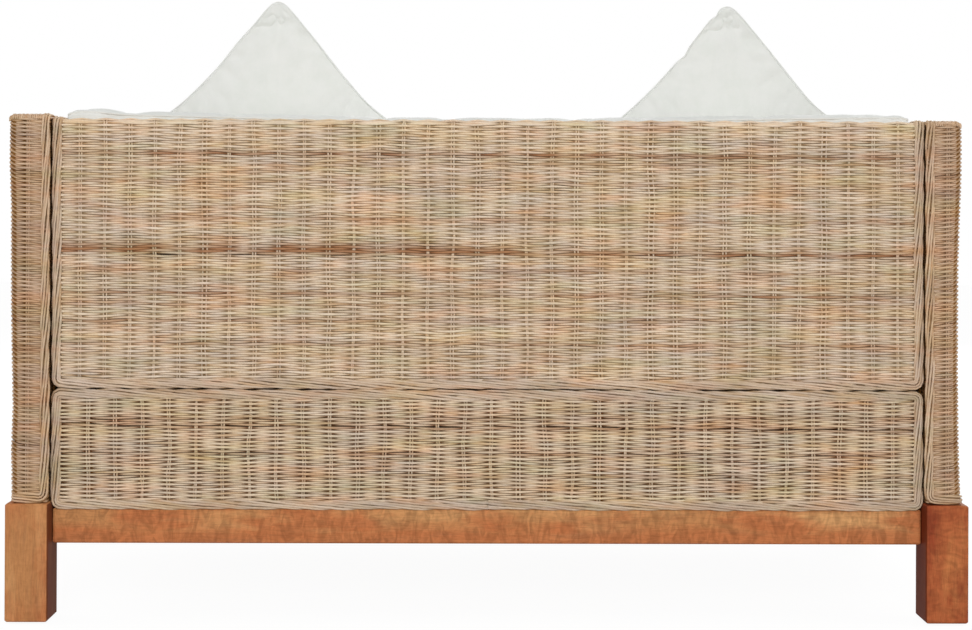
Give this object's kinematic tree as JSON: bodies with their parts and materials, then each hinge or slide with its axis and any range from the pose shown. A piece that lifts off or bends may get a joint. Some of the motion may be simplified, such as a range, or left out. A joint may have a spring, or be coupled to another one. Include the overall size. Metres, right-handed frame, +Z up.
{
  "type": "rattan garden sofa",
  "caption": "Loveseat for a patio: woven rattan arms, back and seat box on a hardwood base, with a seat cushion, a back cushion and loose throw pillows.",
  "frame": {"origin": "on the floor, under the middle of the sofa's outline", "axes": "+Z up; +X along the width, towards the sitter's left; +Y towards the back of the sofa, which faces -Y"},
  "size_m": [1.35, 0.7, 0.8945],
  "materials": {
    "mango_wood": "satin",
    "deck_wood": "matte",
    "rattan_weave": "matte",
    "rattan_pole": "matte",
    "canvas": "matte",
    "nylon": "matte"
  },
  "bodies": {
    "root": {"leg_front_left": "mango_wood", "leg_front_right": "mango_wood", "leg_rear_left": "mango_wood", "leg_rear_right": "mango_wood", "glide_front_left": "nylon", "glide_front_right": "nylon", "glide_rear_left": "nylon", "glide_rear_right": "nylon", "base_rail_front": "mango_wood", "base_rail_rear": "mango_wood", "base_rail_left": "mango_wood", "base_rail_right": "mango_wood", "base_bearer": "mango_wood", "seat_front_weave": "rattan_weave", "seat_front_head_pole": "rattan_pole", "seat_front_post_left": "rattan_pole", "seat_front_post_right": "rattan_pole", "seat_front_foot_pole": "rattan_pole", "seat_front_stile": "rattan_pole", "seat_rear_weave": "rattan_weave", "seat_rear_head_pole": "rattan_pole", "seat_rear_post_left": "rattan_pole", "seat_rear_post_right": "rattan_pole", "seat_rear_foot_pole": "rattan_pole", "seat_rear_stile": "rattan_pole", "deck_ledger_front": "deck_wood", "deck_ledger_rear": "deck_wood", "deck_slat_1": "deck_wood", "deck_slat_2": "deck_wood", "deck_slat_3": "deck_wood", "deck_slat_4": "deck_wood", "deck_slat_5": "deck_wood", "deck_slat_6": "deck_wood", "deck_slat_7": "deck_wood", "deck_slat_8": "deck_wood", "deck_slat_9": "deck_wood", "back_weave": "rattan_weave", "back_head_pole": "rattan_pole", "back_post_left": "rattan_pole", "back_post_right": "rattan_pole", "back_foot_pole": "rattan_pole", "back_stile_1": "rattan_pole", "back_stile_2": "rattan_pole", "arm_left_weave": "rattan_weave", "arm_left_head_pole": "rattan_pole", "arm_left_post_rear": "rattan_pole", "arm_left_post_front": "rattan_pole", "arm_left_foot_pole": "rattan_pole", "arm_left_stile": "rattan_pole", "arm_right_weave": "rattan_weave", "arm_right_head_pole": "rattan_pole", "arm_right_post_rear": "rattan_pole", "arm_right_post_front": "rattan_pole", "arm_right_foot_pole": "rattan_pole", "arm_right_stile": "rattan_pole", "seat_cushion": "canvas", "back_cushion": "canvas", "throw_pillow_left": "canvas", "throw_pillow_right": "canvas"}
  },
  "joints": []
}
